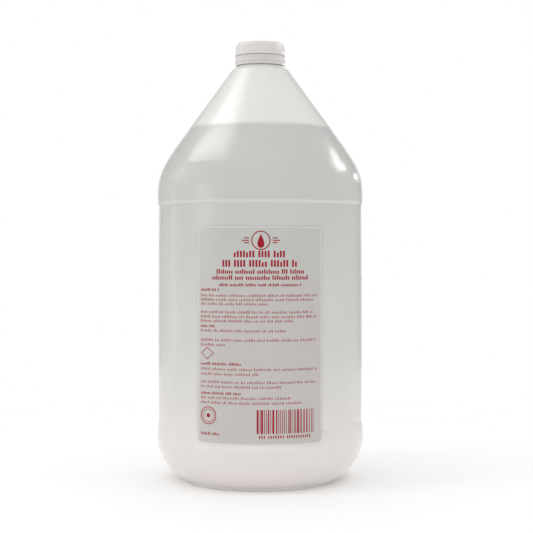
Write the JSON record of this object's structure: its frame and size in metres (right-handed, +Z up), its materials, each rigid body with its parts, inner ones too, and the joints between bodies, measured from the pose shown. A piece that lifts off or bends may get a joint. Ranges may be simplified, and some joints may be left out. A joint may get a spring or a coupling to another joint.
{
  "type": "oil bottle",
  "caption": "Round translucent plastic oil bottle with a cone shoulder, white screw cap, tamper-evident band and front label.",
  "frame": {"origin": "centre of the standing plane under the bottle", "axes": "+Z up along the bottle's axis, -Y towards the front label, +X to the right of the label as it is read"},
  "size_m": [0.1468, 0.1468, 0.3094],
  "materials": {
    "natural_hdpe": "natural milky translucent, moulded, satin",
    "oil": "clear, very pale liquid",
    "label_paper": "smooth coated, pale grey-white with red print",
    "white_pp": "white opaque, moulded, low gloss",
    "liner_foam": "white fine closed-cell foam"
  },
  "bodies": {
    "bottle": {"bottle": "natural_hdpe", "oil": "oil", "front_label": "label_paper"},
    "liner": {"cap_liner": "liner_foam"},
    "cap": {"screw_cap": "white_pp", "tamper_bridges": "white_pp"},
    "band": {"tamper_band": "white_pp"}
  },
  "joints": [
    {"name": "cap_rise", "type": "slide", "parent": "bottle", "child": "liner", "axis": [0, 0, 1], "range_m": [0, 0.00635]},
    {"name": "cap_turn", "type": "hinge", "parent": "liner", "child": "cap", "pos_m": [0, 0, 0.305], "axis": [0, 0, 1], "range_deg": [0, 540]},
    {"name": "band_spin", "type": "hinge", "parent": "bottle", "child": "band", "pos_m": [0, 0, 0.2965], "axis": [0, 0, 1], "continuous": true}
  ],
  "couplings": [
    {"joint": "cap_rise", "follows": "cap_turn", "m_per_rad": 0.00067376}
  ]
}
